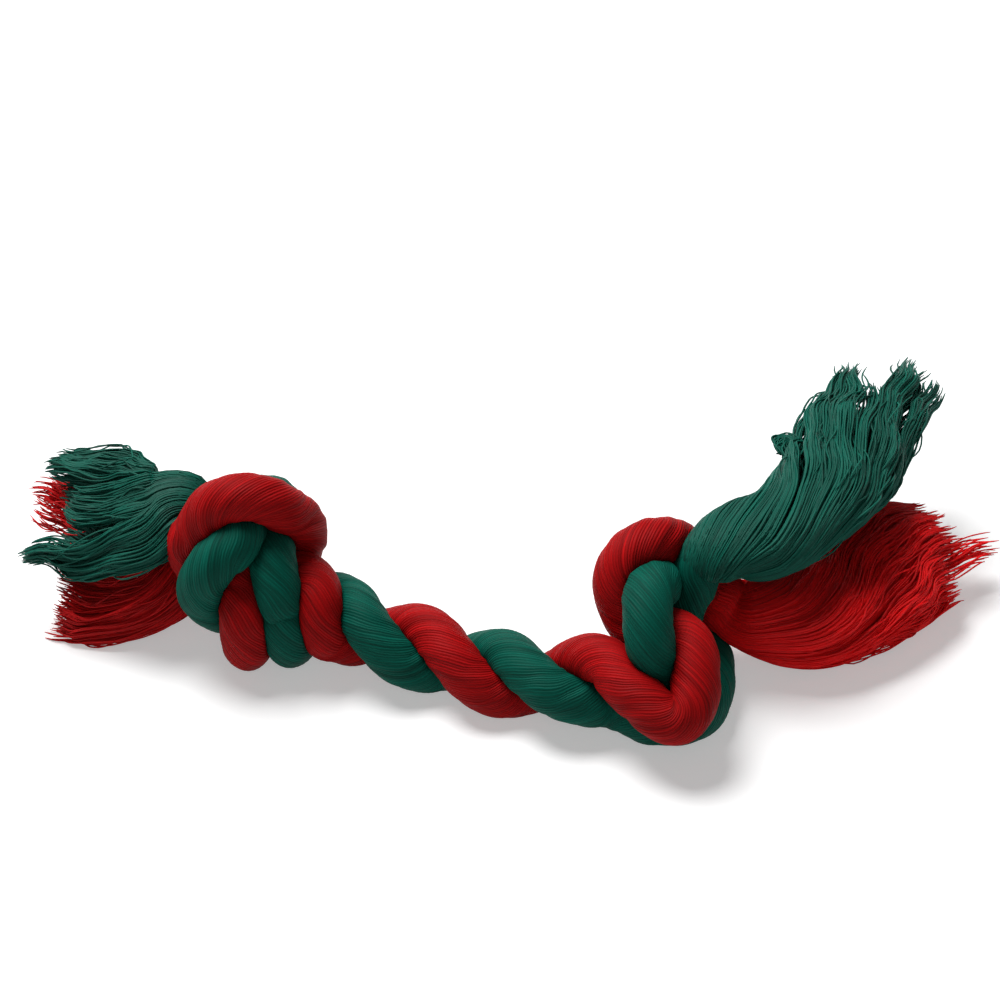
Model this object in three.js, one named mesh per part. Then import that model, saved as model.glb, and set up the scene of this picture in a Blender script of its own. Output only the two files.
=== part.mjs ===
// Rope dog toy: two cotton strands, one red and one green, twisted into one rope,
// tied in a tight overhand knot near each end and left as frayed tassels beyond.
// Millimetres, +Z up, the floor at z = 0, the left knot towards -X.
import * as THREE from "three";

// Sizes of the strands
const STRAND = {
  radius: 5.3, // half the thickness of one strand where nothing presses on it
  apart: 8.2, // between the middles of two strands that lie against each other
  apartTwisted: 7.6, // the same in the twisted stretch, where they are pulled together
  floorHeight: 4.4, // middle of a strand that lies on the floor, a little flattened
  slack: 0.5, // how far strands may still press into each other while a knot is tightened
  clearance: 0.4, // air left between two pieces that touch in the real toy
  ringStep: 2.9,
  settleStep: 1.72,
  rivalMargin: 4,
};
const RING_SIDES = 14;
const SAME_STRAND_SHARE = 2;
const LEAST_SHARE = 0.12;

// The knot as it is tied, before it is pulled tight: a rope runs twice round a ring while
// it sways in and out of it.
const TIE = {
  ring: 20,
  sway: 10,
  reach: 51,
  tail: 7,
  widthShare: 0.8,
  openAngle: 0.32,
  tailInwardShare: 0.6,
};
const TIE_COUNTS = { tail: 40, ring: 500 };
const TIGHTEN = {
  steps: 4000,
  count: 140,
  shrinkShare: 0.9996,
  axisPullShare: 0.01,
  togetherShare: 0.05,
  endsStay: true,
};
// How strongly a settling strand straightens, evens out and is pushed off another in a step
const SETTLE_SHARES = { bend: 0.1, lap: 0.02, push: 0.25, nearSelf: 1.7 };
const LENGTH_PASSES = 6;

// Where the left knot lies and how its two strands sit side by side, in degrees.
const LEFT_KNOT = {
  apart: 7.9,
  roll: 120,
  twist: 270,
  spin: 8,
  tilt: -8,
  yaw: -20,
  place: [-42.6, -13.3, 20.7],
  cutFrom: -15,
  cutTo: 14,
  endTwist: -170,
};
// The right knot is looser and lies on the floor: its two strands point by point.
const RIGHT_KNOT = [
  [
    [36.2, -14.1, 18], [42.9, -17.7, 17.6], [48.5, -21.3, 15.4],
    [53.1, -22.5, 13.1], [56.8, -20.5, 13.9], [57.1, -15.6, 17.4], [54.9, -10.7, 20.4],
    [51.1, -5.6, 21.1], [46.1, -3.5, 20], [41.8, -3.7, 17.7], [38.1, -2.3, 20.5],
    [36, -0.4, 26.3], [36.2, 2.5, 30.8], [38.6, 6.5, 33.3], [42, 11.2, 31.6],
    [44.6, 15.9, 26.6], [47.1, 16.8, 21.4], [50.6, 15.7, 18.1], [54.1, 15.4, 15],
  ],
  [
    [37, -15.5, 7.2], [44.6, -15.2, 6.4], [51.2, -14.8, 5.6], [56.3, -12.7, 5.7],
    [57.7, -6, 6.3], [55.8, 2.9, 5.7], [51.4, 11.7, 6.1],
    [46.4, 18.8, 8], [42.4, 20, 12.3], [40.9, 14, 18.6], [41, 7.2, 24.9],
    [42.4, -1.7, 29.9], [44.2, -9, 29.9], [46.2, -13.2, 25.5], [47.1, -13.6, 18.8],
    [47.3, -10.9, 11.1], [47.7, -6.3, 5.3], [47.7, -0.2, 4.9], [47.1, 4.7, 9.4],
    [47.2, 6.2, 17], [48.3, 7, 24.9], [51.3, 10.2, 30.1],
  ],
];
const KNOT_CORE = 15;
const SPAN_POINTS = 12;
const END_TWIST_POINTS = 8;

// The middle of the rope between the knots, point by point along the floor.
const MIDDLE_ROUTE = [
  [-24, -15, 12],
  [-2, -15, 9.3],
  [19, -16, 8.8],
];
const MIDDLE_TURNS = 1;
const MIDDLE_MERGE_SHARE = 0.12;
const TWISTED = { from: -28, to: 26 };
const SETTLE = { steps: 300, holdShare: 0.01 };

// Cuts across the rope: at the two knots and at the middle, where the toy folds.
const CUT = { leftKnot: -31, fold: -2, rightKnot: 32 };

// The frayed tassels. Each starts at the end of its strand and runs through its points, which
// are shares of its reach from there. Its half width and half thickness along it are shares
// of a strand's radius, and wide is the direction of its width.
const TASSELS = [
  {
    name: "left_green_tassel_yarns", strand: 1, end: 0, colour: "green", reach: 34, wide: [0.1, 0.85, 0.5],
    lineShares: [[-0.19, -0.09, 0], [-0.36, -0.11, 0], [-0.61, -0.08, -0.06],
      [-0.92, -0.04, -0.13]],
    halfShares: [[1.06, 1.02], [1.81, 1.32], [2.34, 1.32], [2.72, 1.21], [2.83, 1.09],
      [2.57, 0.98]],
  },
  {
    name: "left_red_tassel_yarns", strand: 0, end: 0, colour: "red", reach: 48, wide: [-0.1, 0.85, 0.5],
    lineShares: [[-0.15, -0.14, -0.22], [-0.23, -0.25, -0.31], [-0.38, -0.3, -0.34],
      [-0.57, -0.3, -0.34], [-0.82, -0.31, -0.34]],
    halfShares: [[0.98, 0.94], [1.21, 1.06], [1.7, 1.09], [2.64, 1.09], [3.4, 1.06], [3.3, 0.94]],
  },
  {
    name: "right_green_tassel_yarns", strand: 1, end: 1, colour: "green", reach: 74, wide: [1, -0.15, 0.1],
    lineShares: [[0.05, 0.06, 0], [0.16, 0.16, 0.02], [0.24, 0.34, 0.02], [0.27, 0.56, 0.02],
      [0.29, 0.81, 0], [0.31, 1.04, -0.03]],
    halfShares: [[1.32, 1.17], [1.66, 1.4], [2.19, 1.58], [2.45, 1.62],
      [2.49, 1.55], [2.45, 1.43], [2.38, 1.25]],
  },
  {
    name: "right_red_tassel_yarns", strand: 0, end: 1, colour: "red", reach: 65, wide: [0.8, -0.6, 0],
    lineShares: [[0.07, -0.01, -0.02], [0.15, 0.03, -0.05], [0.25, 0.11, -0.08], [0.35, 0.25, -0.09],
      [0.47, 0.46, -0.1], [0.62, 0.62, -0.12]],
    halfShares: [[1.32, 1.25], [1.79, 1.58], [2.45, 1.81], [3.02, 1.85], [3.3, 1.77],
      [3.11, 1.62], [2.55, 1.4]],
  },
];
const TASSEL_LEAD = 3; // how far a tassel first runs straight on from its strand
const TASSEL_ROOT = 21; // how far from its root a tassel stays ahead of its strand's end
const TASSEL_ROOT_STEP = 0.25; // how far each ring there stays ahead of the one before
const BACKWARDS_SHARE = 0.02;
const TASSEL_RINGS = 20;
const TASSEL_SIDES = 14;

const COTTON_RED = { color: 0xb0141c, roughness: 0.92, metalness: 0 };
const COTTON_GREEN = { color: 0x0d6a55, roughness: 0.92, metalness: 0 };

// Vectors as plain lists of three
const add = (a, b) => [a[0] + b[0], a[1] + b[1], a[2] + b[2]];
const sub = (a, b) => [a[0] - b[0], a[1] - b[1], a[2] - b[2]];
const scaled = (a, s) => [a[0] * s, a[1] * s, a[2] * s];
const dot = (a, b) => a[0] * b[0] + a[1] * b[1] + a[2] * b[2];
const cross = (a, b) => [
  a[1] * b[2] - a[2] * b[1],
  a[2] * b[0] - a[0] * b[2],
  a[0] * b[1] - a[1] * b[0],
];
const size = (a) => Math.hypot(a[0], a[1], a[2]);
const unit = (a) => scaled(a, 1 / size(a));
const mixed = (a, b, t) => add(scaled(a, 1 - t), scaled(b, t));
const radians = (degrees) => (degrees * Math.PI) / 180;

function turned(p, axis, degrees) {
  const c = Math.cos(radians(degrees));
  const s = Math.sin(radians(degrees));
  const i = (axis + 1) % 3;
  const j = (axis + 2) % 3;
  const q = p.slice();
  q[i] = c * p[i] - s * p[j];
  q[j] = s * p[i] + c * p[j];
  return q;
}

function turnedAbout(v, axis, angle) {
  const c = Math.cos(angle);
  const along = scaled(axis, dot(axis, v) * (1 - c));
  return add(add(scaled(v, c), scaled(cross(axis, v), Math.sin(angle))), along);
}

// Distances along a line of points
function stations(line) {
  const at = [0];
  for (let i = 1; i < line.length; i++) at.push(at[i - 1] + size(sub(line[i], line[i - 1])));
  return at;
}

// The same line with evenly spaced points
function evenly(line, count) {
  const at = stations(line);
  const total = at[at.length - 1];
  const out = [];
  let j = 0;
  for (let i = 0; i < count; i++) {
    const s = (total * i) / (count - 1);
    while (j < line.length - 2 && at[j + 1] < s) j++;
    out.push(mixed(line[j], line[j + 1], (s - at[j]) / (at[j + 1] - at[j])));
  }
  return out;
}

function evenlyStepped(line, step) {
  const at = stations(line);
  return evenly(line, Math.max(3, Math.round(at[at.length - 1] / step) + 1));
}

// A smooth curve through the points of a route, also used for sizes along it
function through(points, perSpan) {
  const out = [];
  for (let i = 0; i < points.length - 1; i++) {
    const a = points[Math.max(0, i - 1)];
    const b = points[i];
    const c = points[i + 1];
    const d = points[Math.min(points.length - 1, i + 2)];
    for (let k = 0; k < perSpan; k++) {
      const t = k / perSpan;
      out.push(b.map((_, m) => 0.5 * (2 * b[m] + (c[m] - a[m]) * t
        + (2 * a[m] - 5 * b[m] + 4 * c[m] - d[m]) * t * t
        + (3 * b[m] - a[m] - 3 * c[m] + d[m]) * t ** 3)));
    }
  }
  out.push(points[points.length - 1].slice());
  return out;
}

// Frames that follow a line without turning about it: forwards, up, sideways
function frames(line, start = [0, 0, 1]) {
  const out = [];
  let up = start;
  for (let i = 0; i < line.length; i++) {
    const t = unit(sub(line[Math.min(line.length - 1, i + 1)], line[Math.max(0, i - 1)]));
    up = unit(sub(up, scaled(t, dot(up, t))));
    out.push([t, up, cross(t, up)]);
  }
  return out;
}

// Two strands settle: each keeps its length and bends as little as it can, and none of
// their points comes closer to another than the spacing of the strands.
function settle(strands, o) {
  let lengths = strands.map((s) => stations(s)[s.length - 1] / (s.length - 1));
  const home = strands.map((s) => s.map((p) => p.slice()));
  let worst = 0;
  for (let step = 0; step < o.steps; step++) {
    if (o.shrinkShare && worst < STRAND.slack) lengths = lengths.map((l) => l * o.shrinkShare);
    const skip = Math.ceil((SETTLE_SHARES.nearSelf * o.apart) / Math.min(...lengths));
    if (o.axisPullShare) pullEndsToAxis(strands, o.axisPullShare);
    if (o.togetherShare) pullTogether(strands, o);
    for (const s of strands) straighten(s);
    for (let pass = 0; pass < LENGTH_PASSES; pass++) {
      strands.forEach((s, q) => keepLength(s, lengths[q], pass % 2 === 1, o.endsStay));
    }
    worst = pushApart(strands, skip, o);
    strands.forEach((s, q) => s.forEach((p, i) => {
      if (o.floor) p[2] = Math.max(p[2], o.floor);
      if (o.holdShare) for (let k = 0; k < 3; k++) p[k] += o.holdShare * (home[q][i][k] - p[k]);
    }));
  }
}

function pullEndsToAxis(strands, pull) {
  for (const e of [0, strands[0].length - 1]) {
    const a = strands[0][e];
    const b = strands[1][e];
    for (const k of [1, 2]) {
      const m = ((a[k] + b[k]) / 2) * pull;
      a[k] -= m;
      b[k] -= m;
    }
  }
}

function pullTogether(strands, o) {
  for (let i = 0; i < strands[0].length; i++) {
    const a = strands[0][i];
    const b = strands[1][i];
    const l = size(sub(a, b));
    if (l <= o.apart) continue;
    const g = (o.togetherShare * (l - o.apart)) / l / 2;
    for (let k = 0; k < 3; k++) {
      const d = (a[k] - b[k]) * g;
      a[k] -= d;
      b[k] += d;
    }
  }
}

function straighten(s) {
  const c = s.map((p) => p.slice());
  for (let i = 2; i < s.length - 2; i++) {
    for (let k = 0; k < 3; k++) {
      const near = (c[i - 1][k] + c[i + 1][k]) / 2;
      const wide = (4 * (c[i - 1][k] + c[i + 1][k]) - c[i - 2][k] - c[i + 2][k]) / 6;
      s[i][k] += SETTLE_SHARES.bend * (wide - c[i][k]) + SETTLE_SHARES.lap * (near - c[i][k]);
    }
  }
}

function keepLength(s, length, backwards, endsStay) {
  const n = s.length;
  for (let m = 0; m < n - 1; m++) {
    const i = backwards ? n - 2 - m : m;
    const a = s[i];
    const b = s[i + 1];
    const l = Math.hypot(a[0] - b[0], a[1] - b[1], a[2] - b[2]);
    const wa = i > 0 || !endsStay ? 1 : 0;
    const wb = i + 1 < n - 1 || !endsStay ? 1 : 0;
    const g = (l - length) / l / (wa + wb);
    for (let k = 0; k < 3; k++) {
      const d = (b[k] - a[k]) * g;
      a[k] += d * wa;
      b[k] -= d * wb;
    }
  }
}

function pushApart(strands, skip, o) {
  let worst = 0;
  const pairs = [[0, 0], [0, 1], [1, 1]];
  for (const [a, b] of pairs) {
    for (let i = 0; i < strands[a].length; i++) {
      const p = strands[a][i];
      for (let j = a === b ? i + skip : 0; j < strands[b].length; j++) {
        const q = strands[b][j];
        const twisted = o.twisted && o.twisted[a][i] && o.twisted[b][j];
        const least = twisted ? o.apartTwisted : o.apart;
        const dx = p[0] - q[0];
        if (dx > least || dx < -least) continue;
        const dy = p[1] - q[1];
        if (dy > least || dy < -least) continue;
        const dz = p[2] - q[2];
        const l2 = dx * dx + dy * dy + dz * dz;
        if (l2 >= least * least || l2 === 0) continue;
        const l = Math.sqrt(l2);
        const g = (SETTLE_SHARES.push * (least - l)) / l;
        worst = Math.max(worst, least - l);
        p[0] += dx * g;
        p[1] += dy * g;
        p[2] += dz * g;
        q[0] -= dx * g;
        q[1] -= dy * g;
        q[2] -= dz * g;
      }
    }
  }
  return worst;
}

// The line that the rope takes when the knot is tied and still loose
function looseKnot() {
  const { ring, sway, reach, tail } = TIE;
  const line = [];
  const put = (x, y, z) => line.push([y, x * TIE.widthShare, z]);
  const at = (t) => {
    const r = ring + sway * Math.cos(3 * t);
    return [r * Math.cos(2 * t), r * Math.sin(2 * t), sway * Math.sin(3 * t)];
  };
  const first = TIE.openAngle;
  const last = 2 * Math.PI - TIE.openAngle;
  const a = at(first);
  const b = at(last);
  const inward = TIE.tailInwardShare;
  for (let i = 0; i < TIE_COUNTS.tail; i++) {
    const u = i / TIE_COUNTS.tail;
    put(ring + sway, -reach * (1 - u) + a[1] * u * inward, -tail + (a[2] + tail) * u);
  }
  for (let i = 0; i <= TIE_COUNTS.ring; i++) put(...at(first + ((last - first) * i) / TIE_COUNTS.ring));
  for (let i = 1; i <= TIE_COUNTS.tail; i++) {
    const u = i / TIE_COUNTS.tail;
    put(ring + sway, b[1] * (1 - u) * inward + reach * u, b[2] + (tail - b[2]) * u);
  }
  return line;
}

// Both strands of a knot, pulled tight along X
function tightKnot(knot) {
  const centre = evenly(looseKnot(), TIGHTEN.count);
  const strands = [[], []];
  frames(centre).forEach(([, up, side], i) => {
    const u = i / (centre.length - 1);
    const angle = radians(knot.roll + knot.twist * (2 * u - 1));
    const out = add(scaled(up, Math.cos(angle)), scaled(side, Math.sin(angle)));
    strands[0].push(add(centre[i], scaled(out, knot.apart / 2)));
    strands[1].push(add(centre[i], scaled(out, -knot.apart / 2)));
  });
  settle(strands, { ...TIGHTEN, apart: knot.apart });
  return strands;
}

function placedKnot(knot) {
  const strands = tightKnot(knot);
  const core = strands.flat().filter((p) => Math.abs(p[0]) < KNOT_CORE);
  const middle = scaled(core.reduce(add, [0, 0, 0]), 1 / core.length);
  return strands.map((s) => {
    let i = 0;
    let j = s.length - 1;
    while (s[i][0] < knot.cutFrom) i++;
    while (s[j][0] > knot.cutTo) j--;
    return s.slice(i, j + 1).map((p) => {
      const spun = turned(sub(p, middle), 0, knot.spin);
      return add(turned(turned(spun, 1, knot.tilt), 2, knot.yaw), knot.place);
    });
  });
}

// The two strands cross once more where they leave a knot for the tassels.
function crossEnds(strands, degrees) {
  const centre = [];
  for (let i = 0; i < END_TWIST_POINTS + 2; i++) {
    centre.push(mixed(strands[0][i], strands[1][i], 0.5));
  }
  frames(centre).slice(0, END_TWIST_POINTS).forEach(([t], i) => {
    const angle = radians(degrees) * (1 - i / END_TWIST_POINTS);
    for (const s of strands) s[i] = add(centre[i], turnedAbout(sub(s[i], centre[i]), t, angle));
  });
}

// The twisted pair between the knots, from the way it leaves one to the way it meets the other
function twistedMiddle(left, right) {
  const out = left.map((s) => s[s.length - 1]);
  const into = right.map((s) => s[0]);
  const route = [mixed(out[0], out[1], 0.5), ...MIDDLE_ROUTE, mixed(into[0], into[1], 0.5)];
  const centre = evenlyStepped(through(route, SPAN_POINTS), STRAND.settleStep);
  const along = frames(centre);
  const n = centre.length;
  const angleOf = (v, [, up, side]) => Math.atan2(dot(v, side), dot(v, up));
  const start = angleOf(sub(out[0], out[1]), along[0]);
  const full = 2 * Math.PI;
  const rest = (((angleOf(sub(into[0], into[1]), along[n - 1]) - start) % full) + full) % full;
  const half = STRAND.apartTwisted / 2;
  const outHalf = size(sub(out[0], out[1])) / 2 - half;
  const intoHalf = size(sub(into[0], into[1])) / 2 - half;
  const middle = [[], []];
  for (let i = 1; i < n - 1; i++) {
    const u = i / (n - 1);
    const angle = start + (rest + full * MIDDLE_TURNS) * u;
    const off = half + outHalf * Math.max(0, 1 - u / MIDDLE_MERGE_SHARE)
      + intoHalf * Math.max(0, 1 - (1 - u) / MIDDLE_MERGE_SHARE);
    const [, up, side] = along[i];
    const v = add(scaled(up, Math.cos(angle) * off), scaled(side, Math.sin(angle) * off));
    middle[0].push(add(centre[i], v));
    middle[1].push(sub(centre[i], v));
  }
  return middle;
}

function wholeStrands() {
  const left = placedKnot(LEFT_KNOT);
  const right = RIGHT_KNOT.map((route) => through(route, SPAN_POINTS));
  crossEnds(left, LEFT_KNOT.endTwist);
  const middle = twistedMiddle(left, right);
  const strands = [0, 1].map((q) => {
    return evenlyStepped([...left[q], ...middle[q], ...right[q]], STRAND.settleStep);
  });
  const inMiddle = (p) => p[0] > TWISTED.from && p[0] < TWISTED.to;
  settle(strands, {
    ...SETTLE, apart: STRAND.apart, apartTwisted: STRAND.apartTwisted,
    floor: STRAND.floorHeight, twisted: strands.map((s) => s.map(inMiddle)),
  });
  return strands;
}

// Every line of yarn claims the space round it: its points with the radius wanted there.
// Places on one strand and the tassel that grows out of it count as one line.
function claimsOf(ropes, lines) {
  const claims = [];
  ropes.forEach(({ strand, at, length }, q) => strand.forEach((point, i) => {
    claims.push({ strand: q, point, radius: STRAND.radius, far: STRAND.radius, s: at[i], length });
  }));
  for (const tassel of lines) {
    tassel.fine.forEach((point, i) => claims.push({
      tassel, strand: tassel.strand, point, radius: tassel.spread[i],
      far: Math.max(...tassel.halves[i]), s: tassel.start + tassel.way * tassel.at[i],
    }));
  }
  return claims;
}

function rivalsOf(claims, own, centre) {
  return claims.filter((c) => {
    if (c.tassel && c.tassel === own.tassel) return false;
    if (c.strand === own.strand && Math.abs(c.s - own.s) < SAME_STRAND_SHARE * STRAND.apart) {
      if (!c.tassel || !own.tassel) return false;
    }
    return size(sub(c.point, centre)) < c.far + own.far + STRAND.rivalMargin;
  });
}

// How far a surface point may stand off its own line before it meets a neighbour's space
function reach(centre, out, want, radius, rivals, air) {
  let far = want;
  for (const rival of rivals) {
    const d = sub(centre, rival.point);
    const l = size(d);
    const slope = -dot(out, d) / l;
    if (slope <= 0) continue;
    const border = (l * l + radius * radius - rival.radius * rival.radius) / (2 * l);
    far = Math.min(far, (border - air) / slope);
  }
  if (out[2] < 0) far = Math.min(far, -centre[2] / out[2]);
  return Math.max(far, want * LEAST_SHARE);
}

// One closed body from rings of points and a flat end at each side
function closedBody(rings) {
  const sides = rings[0].length;
  const positions = [];
  const index = [];
  for (const ring of rings) for (const p of ring) positions.push(...p);
  const at = (i, k) => i * sides + (k % sides);
  for (let i = 0; i < rings.length - 1; i++) {
    for (let k = 0; k < sides; k++) {
      index.push(at(i, k), at(i, k + 1), at(i + 1, k + 1));
      index.push(at(i, k), at(i + 1, k + 1), at(i + 1, k));
    }
  }
  for (const [i, flip] of [[0, true], [rings.length - 1, false]]) {
    const middle = scaled(rings[i].reduce(add, [0, 0, 0]), 1 / sides);
    positions.push(...middle);
    const m = positions.length / 3 - 1;
    for (let k = 0; k < sides; k++) {
      index.push(m, flip ? at(i, k + 1) : at(i, k), flip ? at(i, k) : at(i, k + 1));
    }
  }
  const geometry = new THREE.BufferGeometry();
  geometry.setAttribute("position", new THREE.Float32BufferAttribute(positions, 3));
  geometry.setIndex(index);
  geometry.computeVertexNormals();
  return geometry;
}

// A strand with its frames and distances, and its place and frame at any distance along it
function measured(strand) {
  const at = stations(strand);
  const along = frames(strand);
  const here = (s) => {
    let j = 0;
    while (j < strand.length - 2 && at[j + 1] < s) j++;
    const t = (s - at[j]) / (at[j + 1] - at[j]);
    return { point: mixed(strand[j], strand[j + 1], t),
      frame: along[j].map((v, k) => unit(mixed(v, along[j + 1][k], t))) };
  };
  return { strand, at, here, length: at[at.length - 1] };
}

// Where a strand crosses a cut for the last or the first time, as a distance along it
function crossing({ strand, at }, x, last) {
  let found = 0;
  for (let i = 1; i < strand.length; i++) {
    const a = strand[i - 1][0];
    const b = strand[i][0];
    if ((a - x) * (b - x) > 0 || a === b) continue;
    found = at[i - 1] + ((x - a) / (b - a)) * (at[i] - at[i - 1]);
    if (!last) return found;
  }
  return found;
}

function strandBody(ropes, claims, q, from, to) {
  const count = Math.max(4, Math.round((to - from) / STRAND.ringStep) + 1);
  const rings = [];
  for (let i = 0; i < count; i++) {
    const s = from + ((to - from) * i) / (count - 1);
    const { point: centre, frame } = ropes[q].here(s);
    const rivals = rivalsOf(claims, { strand: q, s, far: STRAND.radius }, centre);
    const ring = [];
    for (let k = 0; k < RING_SIDES; k++) {
      const a = (2 * Math.PI * k) / RING_SIDES;
      const out = add(scaled(frame[1], Math.cos(a)), scaled(frame[2], Math.sin(a)));
      const far = reach(centre, out, STRAND.radius, STRAND.radius, rivals, STRAND.clearance / 2);
      ring.push(add(centre, scaled(out, far)));
    }
    rings.push(ring);
  }
  return closedBody(rings);
}

// The line of a tassel, from the end of its strand through its own points
function laidTassel(tassel, ropes) {
  const rope = ropes[tassel.strand];
  const way = tassel.end ? 1 : -1;
  const start = tassel.end ? rope.length : 0;
  const { point: tip, frame } = rope.here(start);
  const first = scaled(frame[0], way);
  const root = add(tip, scaled(first, STRAND.clearance));
  const lead = add(root, scaled(first, TASSEL_LEAD));
  const points = tassel.lineShares.map((share) => add(tip, scaled(share, tassel.reach)));
  const fine = evenlyStepped(through([root, lead, ...points], SPAN_POINTS), STRAND.settleStep);
  const sizes = through(tassel.halfShares, SPAN_POINTS).map((half) => half.map((h) => h * STRAND.radius));
  const halves = fine.map((_, i) => sizes[Math.round((i * (sizes.length - 1)) / (fine.length - 1))]);
  const spread = halves.map(([w, h]) => Math.sqrt(w * h));
  return { ...tassel, fine, at: stations(fine), halves, spread, way, start, tip, first };
}

function tasselBody(tassel, claims) {
  const { fine, at, halves, spread, first, tip } = tassel;
  const rings = [];
  for (let i = 0; i < TASSEL_RINGS; i++) {
    const j = Math.round((i * (fine.length - 1)) / (TASSEL_RINGS - 1));
    const centre = fine[j];
    const next = fine[Math.min(fine.length - 1, j + 1)];
    const before = fine[Math.max(0, j - 1)];
    const t = j === 0 ? first : unit(sub(next, before));
    const wide = unit(sub(tassel.wide, scaled(t, dot(tassel.wide, t))));
    const thick = cross(t, wide);
    const s = tassel.start + tassel.way * at[j];
    const own = { tassel, strand: tassel.strand, s, far: Math.max(...halves[j]) };
    const rivals = rivalsOf(claims, own, centre);
    const ring = [];
    for (let k = 0; k < TASSEL_SIDES; k++) {
      const a = (2 * Math.PI * k) / TASSEL_SIDES;
      const v = add(scaled(wide, Math.cos(a) * halves[j][0]), scaled(thick, Math.sin(a) * halves[j][1]));
      const out = unit(v);
      let far = reach(centre, out, size(v), spread[j], rivals, STRAND.clearance);
      const away = dot(sub(centre, tip), first) - STRAND.clearance - TASSEL_ROOT_STEP * i;
      const back = -dot(out, first);
      if (back > BACKWARDS_SHARE && j > 0 && at[j] < TASSEL_ROOT) far = Math.min(far, away / back);
      ring.push(add(centre, scaled(out, far)));
    }
    rings.push(ring);
  }
  return closedBody(rings);
}

function build() {
  const strands = wholeStrands();
  const ropes = strands.map(measured);
  const group = new THREE.Group();
  group.name = "rope_dog_toy";
  const put = (name, geometry, look) => {
    const mesh = new THREE.Mesh(geometry, new THREE.MeshStandardMaterial(look));
    mesh.name = name;
    group.add(mesh);
  };
  const lines = TASSELS.map((tassel) => laidTassel(tassel, ropes));
  const claims = claimsOf(ropes, lines);
  const looks = { red: COTTON_RED, green: COTTON_GREEN };
  ["red", "green"].forEach((colour, q) => {
    const gap = STRAND.clearance / 2;
    const leftCut = crossing(ropes[q], CUT.leftKnot, true);
    const fold = crossing(ropes[q], CUT.fold, true);
    const rightCut = crossing(ropes[q], CUT.rightKnot, false);
    const spans = [
      [`left_knot_${colour}_strand`, 0, leftCut - gap],
      [`left_middle_${colour}_strand`, leftCut + gap, fold - gap],
      [`right_middle_${colour}_strand`, fold + gap, rightCut - gap],
      [`right_knot_${colour}_strand`, rightCut + gap, ropes[q].length],
    ];
    for (const [name, from, to] of spans) put(name, strandBody(ropes, claims, q, from, to), looks[colour]);
  });
  for (const tassel of lines) put(tassel.name, tasselBody(tassel, claims), looks[tassel.colour]);
  const middle = new THREE.Box3().setFromObject(group).getCenter(new THREE.Vector3());
  for (const { geometry } of group.children) geometry.translate(-middle.x, -middle.y, 0);
  return group;
}

export default build();
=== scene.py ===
"""Rope dog toy: two soft cotton strands, one red and one green, laid into one rope, tied in
a tight overhand knot near each end and left as frayed tassels of single yarns beyond."""

import math

import bpy
import numpy as np
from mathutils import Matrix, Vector


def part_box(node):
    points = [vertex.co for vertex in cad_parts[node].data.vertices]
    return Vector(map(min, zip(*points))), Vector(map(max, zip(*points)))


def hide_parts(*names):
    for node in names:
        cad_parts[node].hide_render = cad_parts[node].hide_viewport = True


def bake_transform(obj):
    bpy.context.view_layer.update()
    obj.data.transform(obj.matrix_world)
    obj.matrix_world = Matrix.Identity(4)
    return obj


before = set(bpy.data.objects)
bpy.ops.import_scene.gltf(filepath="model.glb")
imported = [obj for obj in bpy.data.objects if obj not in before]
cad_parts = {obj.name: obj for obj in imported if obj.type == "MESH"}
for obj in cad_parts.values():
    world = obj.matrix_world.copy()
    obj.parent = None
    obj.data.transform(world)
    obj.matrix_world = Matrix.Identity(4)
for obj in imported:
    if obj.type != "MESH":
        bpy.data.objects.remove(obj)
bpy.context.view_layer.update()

bl_info = {
    "name": "Rope dog toy",
    "version": (1, 0, 0),
    "blender": (4, 5, 0),
    "location": "View3D > Sidebar > Rope toy",
    "description": "A knotted cotton rope toy with frayed tassels, laid yarn by yarn",
    "category": "Add Mesh",
}

MM = 0.001
FINENESS = 8  # points for each of a line's own, where its length is measured

COLOURS = ("red", "green")

# The CAD nodes of each strand, from its left end to its right end
STRAND_NODES = ("left_knot_{}_strand", "left_middle_{}_strand",
                "right_middle_{}_strand", "right_knot_{}_strand")

# How a strand's line is found from the rings of its CAD nodes. The middle of a ring moves in
# rounds to where its free points are a radius away; points that are nearer than that by the
# pressed share were pressed flat, and hardly count. Rings that are nearer to each other than
# the doubled share of the usual step are the two at a cut.
CENTRING_ROUNDS = 12
CENTRING_MOVE_SHARE = 1.2
PRESSED_SHARE = 0.04
PRESSED_WEIGHT_SHARE = 0.03
DOUBLED_SHARE = 0.3

# How a strand's skin is pressed. The middles of two strands that touch are SPACING apart, only
# what is within reach presses, and a strand keeps at least a share of its radius. The skin is
# then evened out in rounds, which add no more than the growth. Where nothing is in the way,
# the limit is far away.
SPACING = 8.2 * MM
PRESSING_REACH = 4 * MM
LEAST_RADIUS_SHARE = 0.12
SKIN_ROUNDS = 5
SKIN_GROWTH = 0.1 * MM
FAR_AWAY = 1.0

# Low swellings that run with the yarns, so that the skin isn't a perfect tube: how many waves
# round the strand, where they start, how far and how fast they sway along it, in radians and
# radians in a metre, and their share of the height
SWELLING_HEIGHT = 0.11 * MM
STRAND_SWELLINGS = ((5, 0.0, 0.9, 210, 1.0), (9, 1.7, 1.3, 130, 0.6))

# A distance along a tassel beyond its root, at which a place is read
ROOT_REACH = 16 * MM
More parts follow.
